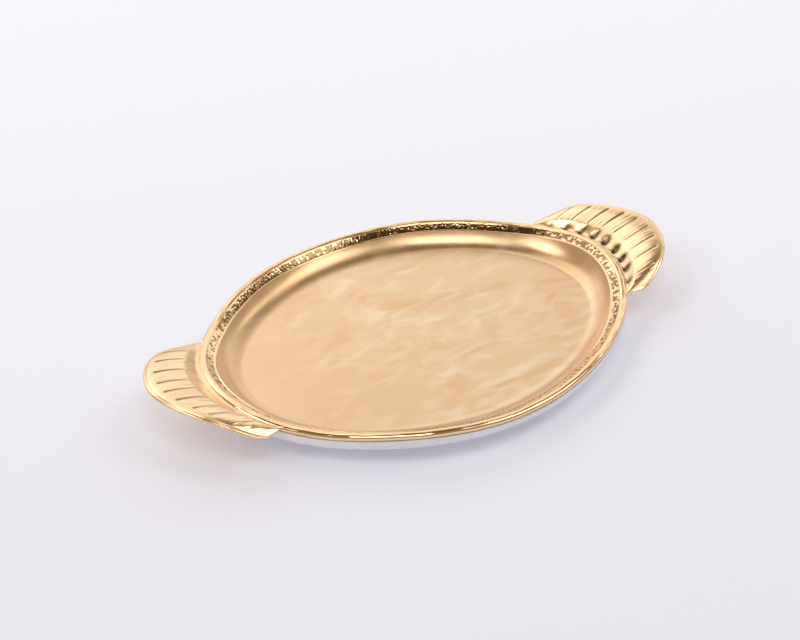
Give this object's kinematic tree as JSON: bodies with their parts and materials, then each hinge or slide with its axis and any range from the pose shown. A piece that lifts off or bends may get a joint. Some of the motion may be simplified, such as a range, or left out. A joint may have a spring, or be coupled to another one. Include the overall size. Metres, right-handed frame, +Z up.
{
  "type": "serving tray",
  "caption": "Oval serving tray in glazed ceramic with a gilded satin well, a hammered band, a polished rim and two fluted shell handles.",
  "frame": {"origin": "on the resting plane, under the middle of the tray", "axes": "+X along the long axis towards the right handle, +Z up"},
  "size_m": [0.4124, 0.2546, 0.0428],
  "materials": {
    "white_glaze": "gloss",
    "satin_gold": "satin",
    "hammered_gold": "polished",
    "bright_gold": "polished"
  },
  "bodies": {
    "root": {"dish_body": "white_glaze", "foot_ring": "white_glaze", "well_lining": "satin_gold", "hammered_band": "hammered_gold", "rim_bead": "bright_gold", "handle_left": "bright_gold", "handle_right": "bright_gold"}
  },
  "joints": []
}
